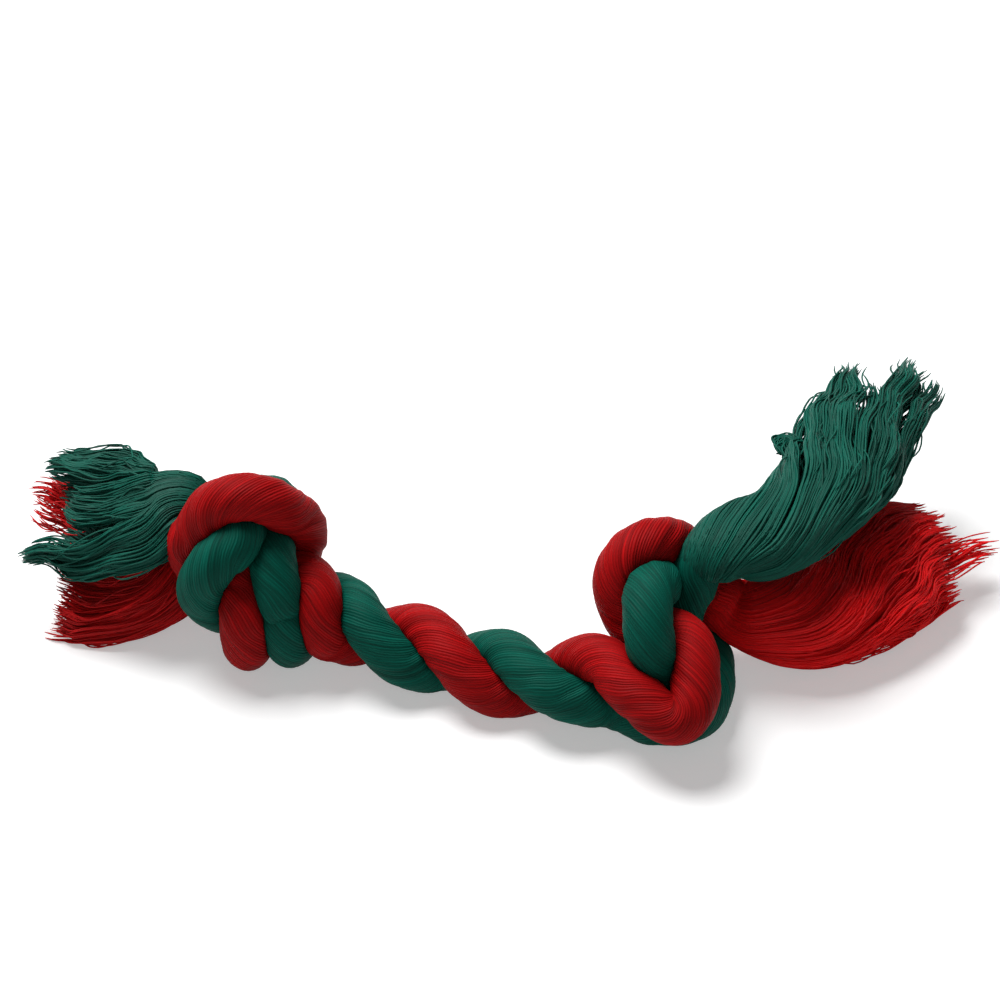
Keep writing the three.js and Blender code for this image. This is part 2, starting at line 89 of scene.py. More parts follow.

# The frayed tassels. Each grows out of its strand's end and is wide across the given direction.
# Its twist is how far the yarns still turn after they leave the strand, in radians. Towards its
# tips it parts into clumps: the place of each in the tassel's cross section as shares of its
# half width and half thickness, with above towards the light, and how far it reaches as a share
# of the tassel's length. The pull is how much of the way to their clump the yarns go, the
# tangle how far they stray across each other in millimetres, and the last how much lighter or
# darker their colour is drawn than the strand's dye: partly the yarns' own tone, partly painted
# light, most of all on the right red tassel, whose 1.85 is painted light in place of the light
# that the green tassel's shade keeps from it. Its swellings each have a direction in the cross
# section in degrees from across to above, a middle and a half length along the tassel in
# millimetres, and how far they stand out in millimetres. A curl is a lock at its edge that has
# folded back on itself: the direction and half breadth of the lock in degrees, how far it
# reaches and comes back in millimetres, and how far it stands off as a share of the skin's
# distance.
TASSELS = {
    "left_green_tassel": {
        "colour": "green", "end": "left", "across": (0.1, 0.85, 0.5), "seed": 11,
        "twist": 1.6, "pull": 0.5, "tangle": 0.9, "lightness_and_painted_light": 0.68,
        "swellings": ((10, 9, 11, 2.2), (20, 20, 14, 1.0), (150, 6, 14, 4.5), (170, 18, 16, 2.0)),
        "tip_shares": (
            (1.05, 0.1, 1.2), (0.85, 0.6, 1.24), (0.7, 0.15, 1.22), (0.55, -0.6, 1.2),
            (0.25, -0.5, 1.16), (0.0, -0.7, 1.15), (-0.3, -0.6, 1.08), (-0.6, -0.7, 1.06),
            (0.0, 0.6, 0.92), (-1.9, 0.3, 1.16), (-1.7, 0.9, 1.12)),
    },
    "left_red_tassel": {
        "colour": "red", "end": "left", "across": (-0.1, 0.85, 0.5), "seed": 23,
        "twist": 1.4, "pull": 0.3, "tangle": 0.9, "lightness_and_painted_light": 1.15,
        "swellings": ((180, 16, 16, 1.5), (-15, 54, 32, 10.0)),
        "tip_shares": (
            (0.7, -0.8, 1.1), (0.95, -0.45, 1.15), (1.05, -0.1, 1.17), (0.95, 0.3, 1.18),
            (0.75, 0.6, 1.12), (0.5, -0.6, 0.95), (0.3, 0.75, 0.95), (0.0, -0.7, 0.92),
            (-0.2, 0.75, 0.92), (-0.45, -0.5, 0.93), (-0.6, 0.6, 0.9), (-0.85, -0.2, 0.92),
            (-0.95, 0.3, 0.88)),
    },
    "right_green_tassel": {
        "colour": "green", "end": "right", "across": (1.0, -0.15, 0.1), "seed": 31,
        "twist": 3.4, "pull": 0.6, "tangle": 0.7, "lightness_and_painted_light": 0.72,
        "swellings": ((20, 12, 14, 3.5), (160, 10, 12, 2.5), (0, 40, 18, 1.5)),
        "curl": (165, 11, 50, 6, 0.24),
        "tip_shares": (
            (-0.9, 0.2, 0.94), (-0.7, 0.7, 0.98), (-0.45, 0.8, 0.93), (-0.5, -0.6, 0.9),
            (0.0, 0.6, 0.84), (0.1, -0.4, 0.88), (0.4, 0.7, 1.04), (0.65, 0.2, 1.07),
            (0.95, 0.25, 1.0), (0.85, -0.4, 0.93), (0.5, -0.8, 0.9)),
    },
    "right_red_tassel": {
        "colour": "red", "end": "right", "across": (0.8, -0.6, 0.0), "seed": 47,
        # This tassel's yarns are drawn 1.85 times as light as the dye: painted light in place of the light
        # that the green tassel's shade keeps from them
        "twist": 3.0, "pull": 0.22, "tangle": 1.7, "lightness_and_painted_light": 1.85,
        "swellings": ((0, 20, 20, 3.0), (180, 14, 14, 2.5), (120, 50, 16, 1.5)),
        "tip_shares": (
            (-0.95, 0.1, 0.92), (-0.75, 0.6, 0.99), (-0.4, 0.8, 1.02), (-0.4, -0.6, 0.97),
            (0.0, 0.75, 1.04), (0.1, -0.5, 1.02), (0.35, 0.6, 1.05), (0.62, 0.3, 1.2),
            (0.7, -0.5, 1.0), (0.95, 0.2, 0.96), (0.8, 0.6, 0.92)),
    },
}

# How the yarns of every tassel lie. They start in layers of their strand: the place of each as
# a share of the radius, and its share of the yarns. The outer layers make up a curled lock.
LAYER_SHARES = ((0.99, 0.5), (0.9, 0.22), (0.76, 0.14), (0.5, 0.09), (0.25, 0.05))
LAYER_SPREAD_SHARES = (0.97, 1.03)
OUTER_LAYER_SHARE = 0.7
# Over how many millimetres they start, from where the tassel's line does, and how far they
# reach as shares of their clump's reach. Some stray, and reach a share of that again.
START_SPREAD = 2.5
REACH_SHARES = (0.9, 1.0)
STRAY_SHARE = 0.07
STRAY_REACH_SHARES = (0.85, 1.04)
# Shares of the tassel's length: where the widening past the tips ends, over which the strand's
# twist fades, and from where and over how much each change grows. The pull grows past 1.
PAST_TIP_SHARE = 1.2
TWIST_FADE_SHARE = 0.45
PULLING_SHARES = (0.25, 0.75, 1.2)
OPENING_SHARES = (0.05, 0.5)
CLUMPING_SHARES = (0.45, 0.5)
LOOSENING_SHARES = (0.1, 1 / 3)
TANGLING_SHARES = (0.35, 0.6)
FOLDING_SHARES = (0.08, 0.4)
PULL_POWER = 1.5
# Waves: how high, the length of a radian of the long and of the short one, in millimetres, and
# the share of the height that the short one has. Neighbours share a wave both ways in the cross
# section; a clump has its own, and each yarn, which is high for those that stray.
SHARED_WAVES = ((0.5, 4.6, 2.4, 0.5), (0.4, 4.1, 2.7, 0.5))
SHARED_TURN = 2.2
CLUMP_WAVE = (0.7, 3.7, 2.1, 0.5)
STRAY_HEIGHT = 0.9
YARN_WAVE = (0.16, 4.3, 2.2, 0.7)
# Low folds of the whole skin: how many round it and the share of each, how high they are and
# how far the skin is drawn in for them, as shares of its distance
FOLD_SHARES = ((7, 0.6), (12, 0.4))
FOLD_HEIGHT_SHARE = 0.07
DRAWN_IN_SHARE = 0.04
# How far out a yarn may lie, as shares of the skin's distance: at the root, how much more at
# the tips, and how much more still where it strays
ROOT_LIMIT_SHARE = 1.03
TIP_LIMIT_SHARE = 0.07
STRAY_LIMIT_SHARE = 0.1
# The yarns start under the skin of their strand and come out through it in a low collar: a
# share of the skin's distance, and over how many millimetres
ROOT_DEPTH = (0.16, 5)
ROOT_COLLAR = (0.05, 4)
# A curled lock: the shares of a yarn at which it is all the way out and starts to come back,
# how its yarns differ, how it rounds its bend and how much it gathers in
CURL = {"out_share": 0.78, "back_share": 0.7, "reach_shares": (0.94, 1.0),
        "back_shares": (0.7, 1.0), "off_shares": (0.5, 1.1), "power": 1.6, "gather_share": 0.7,
        "lift_share": 0.7}
# Tones of the yarns, from dark to light between 0 and 1: the middle one, how much lighter they
# are painted on the crest of a fold and darker in its hollow, as painted light and shade, and
# how much they differ
YARN_TONE_AND_FOLD_LIGHT = {"middle": 0.35, "fold": 0.2, "spread": 0.26}
# Thickness of the yarns as shares of their usual one, and of their last two rings
THICKNESS_SHARES = (0.8, 1.2)
TIP_THICKNESS_SHARES = (0.85, 0.4)

# The stage: the point that the camera looks at, and the lights, in metres and watts
LOOK_AT = Vector((-1.78, -12.21, 28.35)) * MM
LIGHTS = (
    {"name": "window_light", "place": (-0.5, 0.25, 1.1), "width": 0.75, "power": 21},
    {"name": "fill_light", "place": (0.3, -0.9, 0.8), "width": 0.8, "power": 0.8},
)
SENSOR_WIDTH = 36
CLIP_START = 10 * MM
PAPER_HALF_WIDTH = 1.0
PAPER_DROP = 0.02 * MM
# How bright the room is where it lights the toy and where it is seen, and how much light the
# paper adds where it is seen, so that it looks white
ROOM_STRENGTHS = (0.09, 1.0)
PAPER_GLOW = 0.38


# Sizes and colours that a user would change

class ToyStrandSettings(bpy.types.PropertyGroup):
    radius: bpy.props.FloatProperty(
        name="Strand radius", description="Half the thickness of one strand where nothing presses on it",
        default=5.3 * MM, unit="LENGTH")
    ring_step: bpy.props.FloatProperty(
        name="Ring step", description="Distance between the rings of a strand's skin",
        default=0.7 * MM, unit="LENGTH")
    sides: bpy.props.IntProperty(
        name="Sides", description="Points in each ring of a strand's skin", default=64)
    yarn: bpy.props.FloatProperty(
        name="Yarn spacing", description="Distance across from one yarn to the next",
        default=0.52 * MM, unit="LENGTH")
    lay: bpy.props.FloatProperty(
        name="Lay angle", description="Slope of the yarns against the line of their strand",
        default=math.radians(48), subtype="ANGLE")
    red: bpy.props.StringProperty(
        name="Red", description="Dye of the red cotton, as sRGB hex", default="B80D10")
    green: bpy.props.StringProperty(
        name="Green", description="Dye of the green cotton, as sRGB hex", default="025E4E")


class ToyTasselSettings(bpy.types.PropertyGroup):
    yarn_radius: bpy.props.FloatProperty(
        name="Yarn radius", description="Half the thickness of one loose yarn",
        default=0.22 * MM, unit="LENGTH")
    rings: bpy.props.IntProperty(
        name="Rings", description="Rings along each loose yarn", default=56)
    crowding: bpy.props.FloatProperty(
        name="Crowding", description="Yarns for each millimetre round the tassel", default=16.0)


class ToyStageSettings(bpy.types.PropertyGroup):
    floor: bpy.props.StringProperty(
        name="Floor", description="Colour of the paper under the toy, as sRGB hex", default="E4E4E4")
    azimuth: bpy.props.FloatProperty(
        name="Azimuth", description="Where the camera stands round the toy",
        default=math.radians(18.96), subtype="ANGLE")
    elevation: bpy.props.FloatProperty(
        name="Elevation", description="How high the camera stands above the floor",
        default=math.radians(39.9), subtype="ANGLE")
    distance: bpy.props.FloatProperty(
        name="Distance", description="From the camera to the toy", default=600.5 * MM, unit="LENGTH")
    focal_length: bpy.props.FloatProperty(
        name="Focal length", description="Lens of the camera, in millimetres", default=98.2)


# Smooth lines and closed skins

def unit(v):
    return v / np.maximum(np.linalg.norm(v, axis=-1, keepdims=True), 1e-12)


def read_at(values, places, closed=False):
    """The values read at places between their indices, on a smooth curve through them."""
    places = np.asarray(places, float)
    n = len(values)
    i = np.floor(places).astype(int)
    if not closed:
        i = np.clip(i, 0, n - 2)
    u = (places - i).reshape(-1, *([1] * (values.ndim - 1)))
    pick = (lambda j: values[j % n]) if closed else (lambda j: values[np.clip(j, 0, n - 1)])
    a, b, c, d = pick(i - 1), pick(i), pick(i + 1), pick(i + 2)
    return 0.5 * (2 * b + (c - a) * u + (2 * a - 5 * b + 4 * c - d) * u * u
                  + (3 * b - a - 3 * c + d) * u ** 3)


def lengths_along(line):
    return np.concatenate([[0], np.cumsum(np.linalg.norm(np.diff(line, axis=0), axis=1))])


def evenly(line, step):
    """The same line with points that are step apart."""
    fine = read_at(line, np.linspace(0, len(line) - 1, len(line) * FINENESS))
    at = lengths_along(fine)
    count = max(3, round(at[-1] / step) + 1)
    return np.stack([np.interp(np.linspace(0, at[-1], count), at, fine[:, k]) for k in range(3)], 1)


def directions(line):
    ahead = np.vstack([line[1:], line[-1:]])
    behind = np.vstack([line[:1], line[:-1]])
    return unit(ahead - behind)


def carried_frames(line):
    """Up and sideways at each point, which follow the line without turning about it."""
    forwards = directions(line)
    ups = np.empty_like(line)
    up = np.array([0.0, 0.0, 1.0])
    for i, t in enumerate(forwards):
        up = unit(up - t * (t @ up))
        ups[i] = up
    return ups, np.cross(forwards, ups)


def softened(field, times, wrap=True):
    """The field with its steps evened out, along the first axis and round the second."""
    for _ in range(times):
        beside = (np.roll(field, 1, 1) + np.roll(field, -1, 1)) / 2 if wrap else field
        padded = np.vstack([field[:1], field, field[-1:]])
        field = (2 * field + beside + (padded[2:] + padded[:-2]) / 2) / 4
    return field


# What the CAD nodes say

def welded(node):
    """The corners of a node's mesh, each once, and which of them share a triangle's side."""
    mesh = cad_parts[node].data
    co = np.empty(len(mesh.vertices) * 3)
    mesh.vertices.foreach_get("co", co)
    keys, back = np.unique(np.round(co.reshape(-1, 3), 7), axis=0, return_inverse=True)
    back = back.reshape(-1)
    near = [set() for _ in keys]
    for face in mesh.polygons:
        corners = [back[i] for i in face.vertices]
        for a, b in zip(corners, corners[1:] + corners[:1]):
            if a != b:
                near[a].add(b)
                near[b].add(a)
    return keys, near


def node_rings(node):
    """The rings of a wound CAD body, in order from one flat end to the other."""
    points, near = welded(node)
    start = max(range(len(near)), key=lambda i: len(near[i]))
    level = {start: 0}
    edge = [start]
    while edge:
        following = []
        for i in edge:
            for j in sorted(near[i]):
                if j not in level:
                    level[j] = level[i] + 1
                    following.append(j)
        edge = following
    rings = [[] for _ in range(max(level.values()) + 1)]
    for i, l in level.items():
        rings[l].append(i)
    out = []
    for ring in rings[1:-1]:
        members = set(ring)
        order = [ring[0]]
        while len(order) < len(ring):
            step = [j for j in near[order[-1]] if j in members and j not in order]
            if not step:
                raise RuntimeError(f"{node}: a ring of its surface isn't closed")
            order.append(step[0])
        out.append(points[order])
    if len({len(r) for r in out}) != 1:
        raise RuntimeError(f"{node}: its rings differ")
    return np.array(out)


def middle_of(ring, radius):
    """The middle of a strand's ring: the place that its unpressed points are a radius from."""
    centre = ring.mean(0)
    normal = unit(np.linalg.svd(ring - centre)[2][2])
    for _ in range(CENTRING_ROUNDS):
        out = ring - centre
        far = np.linalg.norm(out, axis=1)
        off = far - radius
        weight = np.where(off < -PRESSED_SHARE * radius, PRESSED_WEIGHT_SHARE, 1.0)
        move = (weight[:, None] * out / far[:, None] * off[:, None]).sum(0) / weight.sum()
        centre = centre + CENTRING_MOVE_SHARE * (move - normal * (normal @ move))
    return centre


def strand_line(colour, settings):
    """The middle line of a whole strand, from its left end to its right end."""
    parts = [np.array([middle_of(r, settings.radius) for r in node_rings(n.format(colour))])
             for n in STRAND_NODES]
    for i, part in enumerate(parts):
        near = parts[i + 1] if i + 1 < len(parts) else parts[i - 1]
        gap = [np.linalg.norm(near - end, axis=1).min() for end in (part[0], part[-1])]
        if (gap[0] < gap[1]) == (i + 1 < len(parts)):
            parts[i] = part[::-1]
    line = np.vstack(parts)
    apart = np.linalg.norm(np.diff(line, axis=0), axis=1)
    keep = np.concatenate([[True], apart > DOUBLED_SHARE * np.median(apart)])
    return evenly(line[keep], settings.ring_step)


class Claim:
    """A line of cotton and the space round it that neighbours don't enter. A tassel's is a lock
    of its strand, and s goes on from the strand's."""

    def __init__(self, line, radius, strand, start=0.0, way=1.0, lock=None):
        self.line = line
        self.radius = np.broadcast_to(radius, len(line)).astype(float)
        self.strand = strand
        self.lock = lock
        self.s = start + way * lengths_along(line)


def pressed(claim, ups, sides, count, claims):
    """How far the skin of a strand stands off its line in each direction, pressed flat where
    it meets its neighbours and the floor."""
    angles = np.arange(count) * 2 * math.pi / count
    field = np.empty((len(claim.line), count))
    for i, centre in enumerate(claim.line):
        outs = np.outer(np.cos(angles), ups[i]) + np.outer(np.sin(angles), sides[i])
        far = np.full(count, claim.radius[i])
        for other in claims:
            off = centre - other.line
            l = np.linalg.norm(off, axis=1)
            rival = (l < claim.radius[i] + other.radius + PRESSING_REACH) & (l > 1e-6)
            if other.strand == claim.strand:
                if other.lock == claim.lock or not other.lock or not claim.lock:
                    rival &= np.abs(other.s - claim.s[i]) > 2 * SPACING
                if other.lock and other.lock == claim.lock:
                    continue
            if not rival.any():
                continue
            l = l[rival]
            slope = -(outs @ off[rival].T) / l
            border = (l * l + claim.radius[i] ** 2 - other.radius[rival] ** 2) / (2 * l)
            limit = np.where(slope > 1e-6, border / np.maximum(slope, 1e-6), FAR_AWAY)
            far = np.minimum(far, limit.min(1))
        down = outs[:, 2] < -1e-6
        floor = np.where(down, centre[2] / np.maximum(-outs[:, 2], 1e-6), FAR_AWAY)
        field[i] = np.maximum(np.minimum(far, floor), LEAST_RADIUS_SHARE * claim.radius[i])
    return field


def new_object(name, verts, faces, attributes=(), smooth=True):
    """A mesh object. The faces are a list, or an array where all have as many corners; the
    attributes are rows of name, kind and a value for each point."""
    mesh = bpy.data.meshes.new(name)
    mesh.vertices.add(len(verts))
    mesh.vertices.foreach_set("co", np.asarray(verts, np.float32).ravel())
    sizes = np.array([len(f) for f in faces]) if not isinstance(faces, np.ndarray) else None
    flat = faces.ravel() if sizes is None else np.concatenate(faces)
    sizes = np.full(len(faces), faces.shape[1]) if sizes is None else sizes
    mesh.loops.add(len(flat))
    mesh.loops.foreach_set("vertex_index", flat.astype(np.int32))
    mesh.polygons.add(len(sizes))
    starts = np.concatenate([[0], np.cumsum(sizes)[:-1]])
    mesh.polygons.foreach_set("loop_start", starts.astype(np.int32))
    mesh.polygons.foreach_set("loop_total", sizes.astype(np.int32))
    mesh.update(calc_edges=True)
    mesh.validate()
    for key, kind, values in attributes:
        layer = mesh.attributes.new(key, kind, "POINT")
        field = "vector" if kind == "FLOAT_VECTOR" else "value"
        layer.data.foreach_set(field, np.asarray(values, np.float32).ravel())
    if smooth:
        mesh.polygons.foreach_set("use_smooth", np.ones(len(mesh.polygons), bool))
    obj = bpy.data.objects.new(name, mesh)
    bpy.context.scene.collection.objects.link(obj)
    return obj


def skin_faces(rings, sides):
    """Quads between rings of points, and a fan over each end's middle point."""
    i = np.arange(rings - 1)[:, None] * sides
    k = np.arange(sides)[None, :]
    n = (k + 1) % sides
    quads = np.stack([i + k, i + n, i + sides + n, i + sides + k], -1).reshape(-1, 4)
    faces = [tuple(q) for q in quads]
    first, last = rings * sides, rings * sides + 1
    end = (rings - 1) * sides
    for a in range(sides):
        b = (a + 1) % sides
        faces.append((first, b, a))
        faces.append((last, end + a, end + b))
    return faces


# Materials

def linear(code):
    """A hex sRGB colour as linear light."""
    parts = [int(code[i:i + 2], 16) / 255 for i in (0, 2, 4)]
    return [*(c / 12.92 if c <= 0.04045 else ((c + 0.055) / 1.055) ** 2.4 for c in parts), 1]


def toned(code, share):
    """The same dye lighter or darker by a share of its light."""
    return [*(min(1, c * share) for c in linear(code)[:3]), 1]


def add_node(tree, kind, links=(), **settings):
    """A node with its settings, and links as (socket, value or output)."""
    made = tree.nodes.new(kind)
    for key, value in settings.items():
        setattr(made, key, value)
    for socket, value in dict(links).items():
        if isinstance(value, bpy.types.NodeSocket):
            tree.links.new(value, made.inputs[socket])
        else:
            made.inputs[socket].default_value = value
    return made


def blank_material(name):
    material = bpy.data.materials.new(name)
    material.use_nodes = True
    material.node_tree.nodes.clear()
    return material, material.node_tree


def maths(tree, operation, *values):
    """The output of a sum on values or outputs."""
    return add_node(tree, "ShaderNodeMath", dict(enumerate(values)), operation=operation).outputs[0]


def ranged(tree, value, *limits):
    """A value from between the first two limits set between the other two, or 0 and 1."""
    return add_node(tree, "ShaderNodeMapRange", dict(enumerate((value, *limits)))).outputs[0]


def noise_along(tree, lay, waves, detail=2.0):
    """Noise that is drawn out along the yarns, with so many waves in a metre across, across
    and along."""
    drawn = add_node(tree, "ShaderNodeMapping", {"Vector": lay.outputs["Vector"], "Scale": waves})
    noise = add_node(tree, "ShaderNodeTexNoise", {0: drawn.outputs[0], "Scale": 1.0, "Detail": detail})
    return noise.outputs["Fac"]


def ramped(tree, value, stops):
    """The colour of a value between stops, each a place and a colour."""
    node = add_node(tree, "ShaderNodeValToRGB", {0: value})
    elements = node.color_ramp.elements
    for element, (place, colour) in zip(elements, (stops[0], stops[-1])):
        element.position = place
        element.color = colour
    for place, colour in stops[1:-1]:
        elements.new(place).color = colour
    return node.outputs[0]


def cotton_shader(tree, code, colour, relief, height, depth, roughness, sheen, specular):
    """Dyed cotton: matte, with the faint lit rim that its fibres give."""
    bump = add_node(tree, "ShaderNodeBump", {"Height": height, "Strength": relief, "Distance": depth})
    shader = add_node(tree, "ShaderNodeBsdfPrincipled", {
        "Base Color": colour, "Normal": bump.outputs[0], "Roughness": roughness,
        "Sheen Weight": sheen, "Sheen Roughness": 0.35, "Sheen Tint": toned(code, 2.5),
        "Specular IOR Level": specular})
    add_node(tree, "ShaderNodeOutputMaterial", {0: shader.outputs[0]})


def seen_directly(tree):
    """1 for what the camera sees, also in a gloss or through glass, and 0 for the rest."""
    rays = add_node(tree, "ShaderNodeLightPath")
    seen = maths(tree, "MAXIMUM", rays.outputs["Is Camera Ray"], rays.outputs["Is Glossy Ray"])
    return maths(tree, "MAXIMUM", seen, rays.outputs["Is Transmission Ray"])


def laid_cotton(name, code, yarns):
    """Soft-laid dyed cotton strand: many fine yarns side by side, each a low round ridge with
    painted shade in the groove beside it. Matte, because loose cotton fibre scatters the light."""
    material, tree = blank_material(name)
    lay = add_node(tree, "ShaderNodeAttribute", attribute_name="lay")
    split = add_node(tree, "ShaderNodeSeparateXYZ", {0: lay.outputs["Vector"]})
    angle = maths(tree, "ARCTAN2", split.outputs["Y"], split.outputs["X"])
    # The yarns drift slowly off their even spacing, over about 3 mm across and 20 mm along
    swing = maths(tree, "MULTIPLY", noise_along(tree, lay, (330, 330, 50)), 9.0)
    wave = maths(tree, "SINE", maths(tree, "MULTIPLY_ADD", angle, yarns, swing))
    ridge = ranged(tree, wave, -1.0, 1.0)
    # Each yarn takes the dye a little differently: about 0.8 mm across and 12 mm along
    dye = noise_along(tree, lay, (1250, 1250, 80), detail=3.0)
    tones = ramped(tree, dye, ((0.3, toned(code, 0.42)), (0.7, toned(code, 1.0))))
    # Single fibres, drawn at 0.15 mm, about ten times as coarse as cotton's, so that they show
    fibre = noise_along(tree, lay, (6500, 6500, 420))
    # Grooves are painted a fifth darker than ridges as painted shade, and a fibre is up to 18% darker or
    # 15% lighter
    painted_groove_shade = ranged(tree, ridge, 0.0, 0.55, 0.8, 1.0)
    speck = ranged(tree, fibre, 0.3, 0.7, 0.82, 1.15)
    shade = maths(tree, "MULTIPLY", painted_groove_shade, speck)
    colour = add_node(tree, "ShaderNodeVectorMath", {0: tones, 3: shade}, operation="SCALE").outputs[0]
    # Ridges stand 0.16 mm high, with fibres of a little under half that on them
    height = maths(tree, "MULTIPLY_ADD", fibre, 0.45, ridge)
    cotton_shader(tree, code, colour, relief=0.6, height=height, depth=0.16 * MM,
                  roughness=0.6, sheen=0.025, specular=0.07)
    return material


def frayed_cotton(name, code, lightness_and_painted_light):
    """Frayed dyed cotton yarn: thin, soft and matte, each yarn its own tone of the dye, with
    painted light on the crests of the tassel's folds and painted shade in their hollows, and
    the fine slanting lines of its twist. The whole tassel is drawn lighter or darker than its dye,
    partly as painted light."""
    material, tree = blank_material(name)
    tone = add_node(tree, "ShaderNodeAttribute", attribute_name="tone")
    lay = add_node(tree, "ShaderNodeAttribute", attribute_name="lay")
    # Patches along the yarn where it is dyed deeper, about 4 mm long
    patch = noise_along(tree, lay, (900, 900, 260))
    both = maths(tree, "MULTIPLY_ADD", patch, 0.45, tone.outputs["Fac"])
    # The tassel's whole lightness scales these colours, partly as painted light; the tone also carries
    # painted fold light and shade
    colour = ramped(tree, both, (
        (0.12, toned(code, 0.5 * lightness_and_painted_light)), (0.62, toned(code, lightness_and_painted_light)),
        (1.0, toned(code, 1.4 * lightness_and_painted_light))))
    # The twist of the yarn, drawn at 0.35 mm and 0.1 mm deep
    twist = noise_along(tree, lay, (3200, 3200, 2800))
    cotton_shader(tree, code, colour, relief=0.5, height=twist, depth=0.1 * MM,
                  roughness=0.58, sheen=0.06, specular=0.16)
    return material


def backdrop_paper(name, code):
    """White paper sheet: matte, and seen as white by the camera where no shadow falls."""
    material, tree = blank_material(name)
    # The grain of the paper is about 2 mm, and hardly shows
    grain = add_node(tree, "ShaderNodeTexNoise", {"Scale": 900.0, "Detail": 2.0})
    colour = ramped(tree, grain.outputs["Fac"], ((0.0, toned(code, 0.985)), (1.0, toned(code, 1.0))))
    paper = add_node(tree, "ShaderNodeBsdfDiffuse", {"Color": colour})
    glow = add_node(tree, "ShaderNodeEmission", {
        "Color": (1, 1, 1, 1), "Strength": maths(tree, "MULTIPLY", seen_directly(tree), PAPER_GLOW)})
    both = add_node(tree, "ShaderNodeAddShader", {0: paper.outputs[0], 1: glow.outputs[0]})
    add_node(tree, "ShaderNodeOutputMaterial", {0: both.outputs[0]})
    return material


# The pieces

def tassel_node(name):
    return f"{name}_yarns"


def tassel_rings(name, strand):
    """The rings of a tassel's CAD body, from the end of its strand outwards."""
    rings = node_rings(tassel_node(name))
    tip = strand.line[0 if TASSELS[name]["end"] == "left" else -1]
    if np.linalg.norm(rings[-1].mean(0) - tip) < np.linalg.norm(rings[0].mean(0) - tip):
        rings = rings[::-1]
    return rings


def whole_lines(settings):
    """The middle lines of both strands and of the tassels, as claims on the space round them."""
    claims = {c: Claim(strand_line(c, settings), settings.radius, c) for c in COLOURS}
    for name, tassel in TASSELS.items():
        strand = claims[tassel["colour"]]
        rings = tassel_rings(name, strand)
        spread = np.array([np.linalg.norm(r - r.mean(0), axis=1).mean() for r in rings])
        left = tassel["end"] == "left"
        start, way = (0.0, -1.0) if left else (strand.s[-1], 1.0)
        claims[name] = Claim(rings.mean(1), spread, tassel["colour"], start, way, name)
    return claims


def lay_strand(colour, toy):
    """One whole strand as a mesh of its own, and its line. The lay says where each point of the
    skin lies in the untwisted strand, in metres: round it, and along it."""
    settings = toy.strand
    claims = whole_lines(settings)
    claim = claims[colour]
    ups, sides = carried_frames(claim.line)
    field = pressed(claim, ups, sides, settings.sides, list(claims.values()))
    field = np.minimum(softened(field, SKIN_ROUNDS), field + SKIN_GROWTH)
    angles = np.arange(settings.sides) * 2 * math.pi / settings.sides
    along = claim.s[:, None]
    turn = angles[None, :] + math.tan(settings.lay) / settings.radius * along
    swell = SWELLING_HEIGHT * sum(
        share * np.sin(waves * turn + start + sway * np.sin(along * pace))
        for waves, start, sway, pace, share in STRAND_SWELLINGS)
    # They fade out where the strand is pressed to half its radius
    field = field + swell * np.clip((field / settings.radius - 0.5) * 2, 0, 1)
    ring = (np.cos(angles)[None, :, None] * ups[:, None] + np.sin(angles)[None, :, None] * sides[:, None])
    points = claim.line[:, None] + ring * field[..., None]
    points[..., 2] = np.maximum(points[..., 2], 0)
    lay = np.stack([settings.radius * np.cos(turn), settings.radius * np.sin(turn),
                    np.broadcast_to(along, turn.shape)], -1)
    ends = [points[0].mean(0), points[-1].mean(0)]
    verts = np.vstack([points.reshape(-1, 3), ends])
    lays = np.vstack([lay.reshape(-1, 3), [[0, 0, claim.s[0]], [0, 0, claim.s[-1]]]])
    obj = new_object(f"{colour}_strand", verts, skin_faces(len(claim.line), settings.sides),
                     [("lay", "FLOAT_VECTOR", lays)])
    yarns = round(2 * math.pi * settings.radius * math.cos(settings.lay) / settings.yarn)
    code = getattr(settings, colour)
    obj.data.materials.append(laid_cotton(f"soft_laid_{colour}_cotton", code, yarns))
    fold = Vector(fold_place(claims))
    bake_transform(obj)
    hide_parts(*[n.format(colour) for n in STRAND_NODES])
    return obj, claim


def fold_place(claims):
    """A place between the two halves of the middle strands."""
    left = np.array([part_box(f"left_middle_{c}_strand")[1][0] for c in COLOURS])
    right = np.array([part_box(f"right_middle_{c}_strand")[0][0] for c in COLOURS])
    x = (left.mean() + right.mean()) / 2
    lines = [claims[c].line for c in COLOURS]
    near = [line[np.abs(line[:, 0] - x).argmin()] for line in lines]
    return (x, (near[0][1] + near[1][1]) / 2, (near[0][2] + near[1][2]) / 2)


def tubes(paths, radii):
    """One mesh of many thin closed tubes of four sides, which smooth shading rounds: paths is
    yarn by ring by 3, radii yarn by ring."""
    count, rings, _ = paths.shape
    sides = 4
    ahead = unit(np.gradient(paths, axis=1))
    upright = np.zeros_like(ahead)
    upright[..., 2] = 1.0
    across = unit(np.cross(ahead, upright))
    above = np.cross(across, ahead)
    angles = np.arange(sides) * 2 * math.pi / sides
    ring = (np.cos(angles)[:, None] * across[:, :, None] + np.sin(angles)[:, None] * above[:, :, None])
    points = paths[:, :, None] + ring * radii[:, :, None, None]
    base = (np.arange(count) * rings * sides)[:, None, None]
    i = np.arange(rings - 1)[None, :, None] * sides
    k = np.arange(sides)[None, None, :]
    n = (k + 1) % sides
    skin = np.stack([base + i + k, base + i + sides + k, base + i + sides + n, base + i + n], -1)
    first = base[:, 0] + np.arange(sides)
    last = base[:, 0] + (rings - 1) * sides + np.arange(sides)[::-1]
    return points, np.vstack([skin.reshape(-1, 4), first, last])


